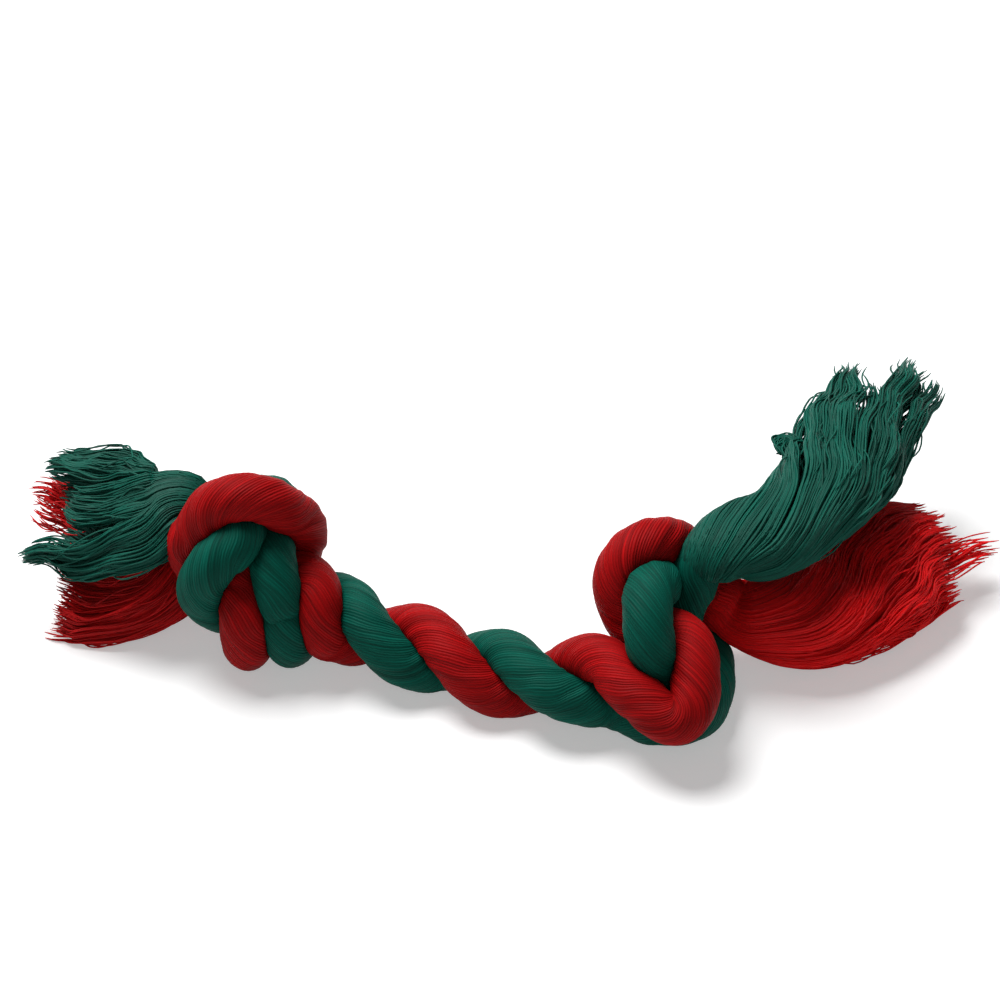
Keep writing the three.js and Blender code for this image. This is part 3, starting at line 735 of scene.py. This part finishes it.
class TasselForm:
    """The space that a tassel fills: a line that starts inside its strand, the directions
    across and above it, and how far its skin stands off in each direction."""

    inside = 6 * MM  # how far back inside its strand it starts
    step = 1 * MM
    turns = 48  # directions round it
    lead_every = 3
    line_rounds = 2
    skin_rounds = 3
    facing_power = 1.5
    least_skin = 1 * MM

    def __init__(self, name, claims, settings):
        tassel = TASSELS[name]
        strand = claims[tassel["colour"]]
        line = strand.line if tassel["end"] == "right" else strand.line[::-1]
        to_end = lengths_along(line[::-1])[::-1]
        lead = line[(to_end < self.inside) & (to_end > self.step / 2)][::self.lead_every]
        rings = tassel_rings(name, strand)
        middles = softened(np.vstack([lead, rings.mean(1)]), self.line_rounds, wrap=False)
        ahead = directions(middles)
        wide = np.array(tassel["across"])
        across = unit(wide - ahead * (ahead @ wide)[:, None])
        above = np.cross(across, ahead)
        around = np.arange(self.turns) * 2 * math.pi / self.turns
        field = np.empty((len(middles), self.turns))
        for i, middle in enumerate(middles):
            if i < len(lead):
                field[i] = settings.radius
                continue
            off = rings[i - len(lead)] - middle
            angle = np.arctan2(off @ above[i], off @ across[i])
            order = np.argsort(angle)
            field[i] = np.interp(around, angle[order], np.linalg.norm(off, axis=1)[order],
                                 period=2 * math.pi)
        field = softened(field, self.skin_rounds)
        at = lengths_along(middles) - lengths_along(lead)[-1]
        for degrees, middle, half, height in tassel["swellings"]:
            near = np.cos(np.clip((at / MM - middle) / half, -1, 1) * math.pi / 2) ** 2
            facing = np.maximum(np.cos(around - math.radians(degrees)), 0) ** self.facing_power
            field += height * MM * near[:, None] * facing[None]
        self.s = np.arange(at[0], at[-1], self.step)
        self.length = at[-1]
        place = np.interp(self.s, at, np.arange(len(at)))
        self.line = read_at(middles, place)
        self.ahead = unit(read_at(ahead, place))
        self.across = unit(read_at(across, place))
        self.above = np.cross(self.across, self.ahead)
        self.field = np.maximum(read_at(field, place), self.least_skin)
        quarter = self.turns // 4
        self.width = (self.field[:, 0] + self.field[:, 2 * quarter]) / 2
        self.thickness = (self.field[:, quarter] + self.field[:, 3 * quarter]) / 2

    def places(self, s, q):
        """Points at distances s along the tassel, at places q in its cross section."""
        index = (s - self.s[0]) / self.step
        beyond = np.maximum(index - (len(self.s) - 1), 0) * self.step
        low = np.clip(index.astype(int), 0, len(self.s) - 2)
        f = np.clip(index - low, 0, 1)[..., None]

        def read(values):
            return values[low] * (1 - f) + values[low + 1] * f

        width = read(self.width[:, None])[..., 0]
        thickness = read(self.thickness[:, None])[..., 0]
        across = q[..., 0] * width
        above = q[..., 1] * thickness
        angle = np.arctan2(above, across)
        turn = (angle / (2 * math.pi) * self.turns) % self.turns
        k = turn.astype(int)
        g = turn - k
        near, far = k % self.turns, (k + 1) % self.turns
        here, there = (self.field[row, near] * (1 - g) + self.field[row, far] * g
                       for row in (low, low + 1))
        skin = here * (1 - f[..., 0]) + there * f[..., 0]
        reach = np.linalg.norm(q, axis=-1) * skin
        return (read(self.line) + read(self.ahead) * beyond[..., None]
                + read(self.across) * (np.cos(angle) * reach)[..., None]
                + read(self.above) * (np.sin(angle) * reach)[..., None])


def turned(q, angle):
    c, s = np.cos(angle), np.sin(angle)
    return np.stack([q[..., 0] * c - q[..., 1] * s, q[..., 0] * s + q[..., 1] * c], -1)


def growing(u, start, span, most=1.0):
    """0 as far as start, then 1 more for each span, up to most."""
    return np.clip((u - start) / span, 0, most)


def wavy(x, wave, first, second):
    """A wave with a shorter one on it, before its height. First and second say where they start."""
    _, long, short, share = wave
    return np.sin(x / long + first) + share * np.sin(x / short + second)


class Yarns:
    """The loose yarns of a tassel: where each lies in the cross section as shares of it, first
    at the strand and last when the twist has gone, its clump, and how far it reaches."""

    def __init__(self, tassel, form, settings, rng):
        middle = len(form.s) // 2
        girth = 2 * math.pi * math.sqrt(form.width[middle] * form.thickness[middle])
        count = int(settings.crowding * girth / MM)
        depths, amounts = zip(*LAYER_SHARES)
        self.layer = rng.choice(depths, count, p=amounts)
        angle = rng.uniform(0, 2 * math.pi, count)
        out = self.layer * rng.uniform(*LAYER_SPREAD_SHARES, count)
        self.first = np.stack([np.cos(angle), np.sin(angle)], 1) * out[:, None]
        self.last = turned(self.first, tassel["twist"])
        self.bearing = np.arctan2(self.last[:, 1], self.last[:, 0])
        homes = np.array(tassel["tip_shares"])
        beyond = np.maximum(np.linalg.norm(homes[:, :2], axis=1), 1.0)
        apart = self.last[:, None] - (homes[:, :2] / beyond[:, None])[None]
        self.clump = np.linalg.norm(apart, axis=2).argmin(1)
        self.home = homes[self.clump, None, :2]
        self.beyond = beyond[self.clump, None]
        self.ends = form.length * homes[self.clump, 2] * rng.uniform(*REACH_SHARES, count)
        self.stray = rng.uniform(0, 1, count) < STRAY_SHARE
        self.ends[self.stray] *= rng.uniform(*STRAY_REACH_SHARES, self.stray.sum())
        self.starts = form.s[0] + rng.uniform(0, START_SPREAD, count) * MM


def waved(q, x, u, yarns, tassel, form, rng):
    """Places in the cross section with the waves that neighbours, clumps and single yarns have,
    strays across them and low folds of the whole skin. Also how high the fold of each yarn is."""
    count = len(yarns.first)
    sizes = np.array([form.width.mean(), form.thickness.mean()]) / MM
    a, b = (SHARED_TURN * yarns.last[:, k:k + 1] for k in (0, 1))
    phase = rng.uniform(0, 2 * math.pi, 4)
    starts = ((a + phase[0], phase[1] - b), (b + phase[2], a + phase[3]))
    clump = rng.uniform(0, 2 * math.pi, (len(tassel["tip_shares"]), 4))[yarns.clump][:, None]
    own = rng.uniform(0, 2 * math.pi, (count, 4))[:, None]
    loose = np.where(yarns.stray, STRAY_HEIGHT, YARN_WAVE[0])[:, None] * growing(u, *LOOSENING_SHARES)
    for k, wave in enumerate(SHARED_WAVES):
        shared = wave[0] * growing(u, *OPENING_SHARES) * wavy(x, wave, *starts[k])
        together = CLUMP_WAVE[0] * growing(u, *CLUMPING_SHARES) * wavy(
            x, CLUMP_WAVE, clump[..., k], clump[..., k + 2])
        alone = loose * wavy(x, YARN_WAVE, own[..., k], own[..., k + 2])
        q[..., k] += (shared + together + alone) / sizes[k]
    late = growing(u, *TANGLING_SHARES)
    q += rng.normal(0, 1, (count, 1, 2)) * (tassel["tangle"] / sizes) * (
        late * late * (3 - 2 * late))[..., None]
    folds = sum(share * np.sin(number * yarns.bearing + phase[k])
                for k, (number, share) in enumerate(FOLD_SHARES))
    relief = FOLD_HEIGHT_SHARE * folds[:, None] * growing(u, *FOLDING_SHARES) - DRAWN_IN_SHARE
    return q * (1 + relief)[..., None], folds


def held_in(q, u, yarns):
    """Places that stay near the tassel's skin, apart from the clumps that leave it."""
    far = np.linalg.norm(q, axis=-1)
    more = TIP_LIMIT_SHARE + np.where(yarns.stray, STRAY_LIMIT_SHARE, 0)[:, None]
    most = ROOT_LIMIT_SHARE + more * u + (yarns.beyond - 1) * u ** 2
    return q * (np.minimum(far, most) / np.maximum(far, 1e-6))[..., None]


def curled(q, s, t, yarns, curl, rng):
    """The places and distances of the yarns, with the lock at the edge folded back on itself."""
    degrees, half, peak, back, off = curl
    side = np.degrees(yarns.bearing) - degrees
    lock = (np.abs((side + 180) % 360 - 180) < half) & (yarns.layer > OUTER_LAYER_SHARE)
    reach, back, off = (
        size * rng.uniform(*CURL[shares], (len(lock), 1))
        for size, shares in ((peak * MM, "reach_shares"), (back * MM, "back_shares"), (off, "off_shares")))
    starts = yarns.starts[:, None]
    out = np.minimum(t / CURL["out_share"], 1)
    home = growing(t, CURL["back_share"], 1 - CURL["back_share"])
    folded = starts + (reach - starts) * np.sin(out * math.pi / 2) - back * home ** CURL["power"]
    fan = np.radians(degrees) - np.arctan2(q[..., 1], q[..., 0])
    fan = (fan + math.pi) % (2 * math.pi) - math.pi
    lifted = 1 + off * np.sin(home * math.pi * CURL["lift_share"])
    gathered = turned(q, fan * CURL["gather_share"] * out[None]) * lifted[..., None]
    return np.where(lock[:, None, None], gathered, q), np.where(lock[:, None], folded, s)


def tassel_yarns(tassel, form, settings, rng):
    """Paths and tones of the loose yarns. They come off the strand in its own twist, run on side
    by side in slow waves, and draw together into clumps towards the tips."""
    yarns = Yarns(tassel, form, settings, rng)
    t = np.linspace(0, 1, settings.rings)
    s = yarns.starts[:, None] + (yarns.ends - yarns.starts)[:, None] * t[None]
    x = s / MM
    u = np.clip(s / form.length, 0, PAST_TIP_SHARE)
    fade = TWIST_FADE_SHARE * form.length
    faded = 1 - np.exp(-np.maximum(s + form.inside, 0) / fade)
    turn = tassel["twist"] * faded / (1 - math.exp(-form.length / fade))
    q = turned(yarns.first[:, None], turn)
    q = q + (yarns.home - q) * (tassel["pull"] * growing(u, *PULLING_SHARES) ** PULL_POWER)[..., None]
    q, folds = waved(q, x, u, yarns, tassel, form, rng)
    q = held_in(q, u, yarns)
    if "curl" in tassel:
        q, s = curled(q, s, t, yarns, tassel["curl"], rng)
    under = ROOT_DEPTH[0] * np.clip(-x / ROOT_DEPTH[1], 0, 1)
    collar = ROOT_COLLAR[0] * np.clip(1 - np.abs(x) / ROOT_COLLAR[1], 0, 1)
    spread = YARN_TONE_AND_FOLD_LIGHT["spread"]
    # Painted light and shade: a yarn on the crest of a fold is drawn lighter, one in its hollow darker
    tone = YARN_TONE_AND_FOLD_LIGHT["middle"] + YARN_TONE_AND_FOLD_LIGHT["fold"] * folds + rng.uniform(-spread, spread, len(folds))
    return form.places(s, q * (1 - under + collar)[..., None]), tone


def fray_tassel(name, toy):
    """Every loose yarn of one tassel, as one mesh. The lay says where each point lies on its
    own yarn, in metres, with a shift of its own for each yarn."""
    settings = toy.tassel
    tassel = TASSELS[name]
    colour = tassel["colour"]
    form = TasselForm(name, whole_lines(toy.strand), toy.strand)
    rng = np.random.default_rng(tassel["seed"])
    paths, tone = tassel_yarns(tassel, form, settings, rng)
    paths[..., 2] = np.maximum(paths[..., 2], settings.yarn_radius)
    count, rings, _ = paths.shape
    radii = settings.yarn_radius * rng.uniform(*THICKNESS_SHARES, (count, 1)) * np.ones((1, rings))
    radii[:, -len(TIP_THICKNESS_SHARES):] *= TIP_THICKNESS_SHARES
    points, faces = tubes(paths, radii)
    sides = points.shape[2]
    along = np.linalg.norm(np.diff(paths, axis=1, prepend=paths[:, :1]), axis=2).cumsum(1)
    angles = np.arange(sides) * 2 * math.pi / sides
    shift = rng.uniform(0, 1, (count, 1, 1))
    lay = np.stack(np.broadcast_arrays(
        settings.yarn_radius * np.cos(angles) + shift, settings.yarn_radius * np.sin(angles),
        along[:, :, None]), -1)
    obj = new_object(name, points.reshape(-1, 3), faces, [
        ("tone", "FLOAT", np.repeat(tone, rings * sides)),
        ("lay", "FLOAT_VECTOR", lay.reshape(-1, 3))])
    code = getattr(toy.strand, colour)
    obj.data.materials.append(frayed_cotton(f"frayed_{colour}_cotton", code, tassel["lightness_and_painted_light"]))
    root, away = form.places(np.array([0.0, ROOT_REACH]), np.zeros((2, 2)))
    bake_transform(obj)
    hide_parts(tassel_node(name))


# Operators, one for each piece or group of like pieces

class TOY_OT_strands(bpy.types.Operator):
    """Lays the red and the green strand through both knots and the twisted middle"""

    bl_idname = "rope_toy.strands"
    bl_label = "Strands"

    def execute(self, context):
        toy = context.scene.rope_toy
        for colour in COLOURS:
            obj, claim = lay_strand(colour, toy)
        return {"FINISHED"}


class TOY_OT_tassels(bpy.types.Operator):
    """Frays both ends of both strands into single yarns"""

    bl_idname = "rope_toy.tassels"
    bl_label = "Tassels"

    def execute(self, context):
        toy = context.scene.rope_toy
        for name in TASSELS:
            fray_tassel(name, toy)
        return {"FINISHED"}


class TOY_OT_stage(bpy.types.Operator):
    """Sets the white paper, the soft light and the camera"""

    bl_idname = "rope_toy.stage"
    bl_label = "Stage"

    def execute(self, context):
        stage = context.scene.rope_toy.stage
        h = PAPER_HALF_WIDTH
        floor = new_object("paper_floor", [(-h, -h, 0), (h, -h, 0), (h, h, 0), (-h, h, 0)],
                           [(0, 1, 2, 3)], smooth=False)
        floor.location.z = -PAPER_DROP
        floor.data.materials.append(backdrop_paper("white_paper", stage.floor))
        world = bpy.data.worlds.new("pale_room")
        world.use_nodes = True
        tree = world.node_tree
        tree.nodes.clear()
        strength = ranged(tree, seen_directly(tree), 0.0, 1.0, *ROOM_STRENGTHS)
        air = add_node(tree, "ShaderNodeBackground", {0: (1, 1, 1, 1), 1: strength})
        add_node(tree, "ShaderNodeOutputWorld", {0: air.outputs[0]})
        context.scene.world = world
        for light in LIGHTS:
            soft_light(**light)
        camera = bpy.data.objects.new("camera", bpy.data.cameras.new("camera"))
        context.scene.collection.objects.link(camera)
        a, e = stage.azimuth, stage.elevation
        back = Vector((math.sin(a) * math.cos(e), -math.cos(a) * math.cos(e), math.sin(e)))
        camera.data.sensor_width = SENSOR_WIDTH
        camera.data.lens = stage.focal_length
        camera.location = LOOK_AT + back * stage.distance
        camera.rotation_mode = "QUATERNION"
        camera.rotation_quaternion = (-back).to_track_quat("-Z", "Y")
        camera.data.clip_start = CLIP_START
        context.scene.camera = camera
        context.scene.view_settings.view_transform = "Standard"
        return {"FINISHED"}


def soft_light(name, place, width, power):
    """A round soft light that faces the toy."""
    light = bpy.data.lights.new(name, "AREA")
    light.shape = "DISK"
    light.size = width
    light.energy = power
    obj = bpy.data.objects.new(name, light)
    bpy.context.scene.collection.objects.link(obj)
    obj.location = place
    obj.rotation_mode = "QUATERNION"
    obj.rotation_quaternion = (-Vector(place)).to_track_quat("-Z", "Y")


class TOY_PT_panel(bpy.types.Panel):
    """The pieces of the rope toy"""

    bl_label = "Rope toy"
    bl_idname = "TOY_PT_panel"
    bl_space_type = "VIEW_3D"
    bl_region_type = "UI"
    bl_category = "Rope toy"

    def draw(self, context):
        toy = context.scene.rope_toy
        for group in (toy.strand, toy.tassel, toy.stage):
            box = self.layout.box()
            for key in group.bl_rna.properties.keys():
                if key not in ("rna_type", "name"):
                    box.prop(group, key)
        for operator in OPERATORS:
            self.layout.operator(operator.bl_idname)


class ToySettings(bpy.types.PropertyGroup):
    strand: bpy.props.PointerProperty(
        name="Strands", description="Sizes and dyes of the strands", type=ToyStrandSettings)
    tassel: bpy.props.PointerProperty(
        name="Tassels", description="Sizes of the loose yarns", type=ToyTasselSettings)
    stage: bpy.props.PointerProperty(
        name="Stage", description="Floor and camera", type=ToyStageSettings)


OPERATORS = (TOY_OT_stage, TOY_OT_strands, TOY_OT_tassels)
CLASSES = (ToyStrandSettings, ToyTasselSettings, ToyStageSettings, ToySettings, *OPERATORS, TOY_PT_panel)


def register():
    for cls in CLASSES:
        bpy.utils.register_class(cls)
    bpy.types.Scene.rope_toy = bpy.props.PointerProperty(type=ToySettings)


def unregister():
    del bpy.types.Scene.rope_toy
    for cls in reversed(CLASSES):
        bpy.utils.unregister_class(cls)


def main():
    register()
    for call in (bpy.ops.rope_toy.stage, bpy.ops.rope_toy.strands, bpy.ops.rope_toy.tassels):
        if call() != {"FINISHED"}:
            raise RuntimeError(f"{call.idname()} didn't finish")


if __name__ == "__main__":
    main()
